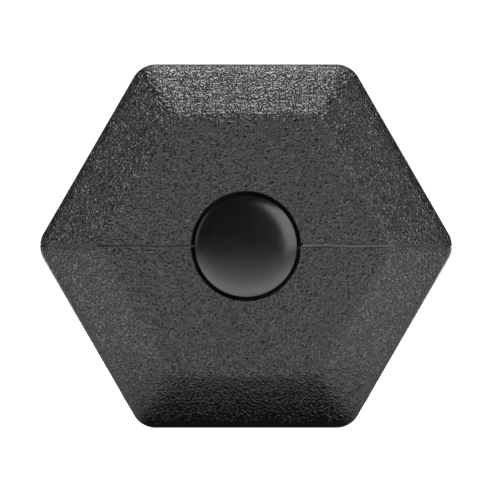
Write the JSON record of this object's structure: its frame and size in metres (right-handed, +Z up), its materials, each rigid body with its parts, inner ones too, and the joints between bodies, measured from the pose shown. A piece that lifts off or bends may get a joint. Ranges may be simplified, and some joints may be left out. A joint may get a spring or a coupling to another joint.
{
  "type": "hex dumbbell",
  "caption": "Fixed hex dumbbell with bevelled, rubber-covered iron heads on a contoured, knurled steel handle and a domed plug in each head's outer end, for one-handed weight training.",
  "frame": {"origin": "on the surface that the heads stand on, under the middle of the handle", "axes": "+X across the corners of the heads, +Y along the handle from the pictured (front) head to the rear one, +Z up"},
  "size_m": [0.1252, 0.2806, 0.11],
  "materials": {
    "rubber": "compression moulded, with a fine pebbled grain",
    "plug": "smooth satin",
    "chrome": "hard chrome plate, diamond knurled over the grip",
    "cast_iron": "as cast and shot-blasted",
    "spring_steel": "hardened and oiled"
  },
  "bodies": {
    "root": {"handle": "chrome", "front_rubber_jacket": "rubber", "front_iron_core": "cast_iron", "front_spring_pins": "spring_steel", "front_end_plug": "plug", "rear_rubber_jacket": "rubber", "rear_iron_core": "cast_iron", "rear_spring_pins": "spring_steel", "rear_end_plug": "plug"}
  },
  "joints": []
}
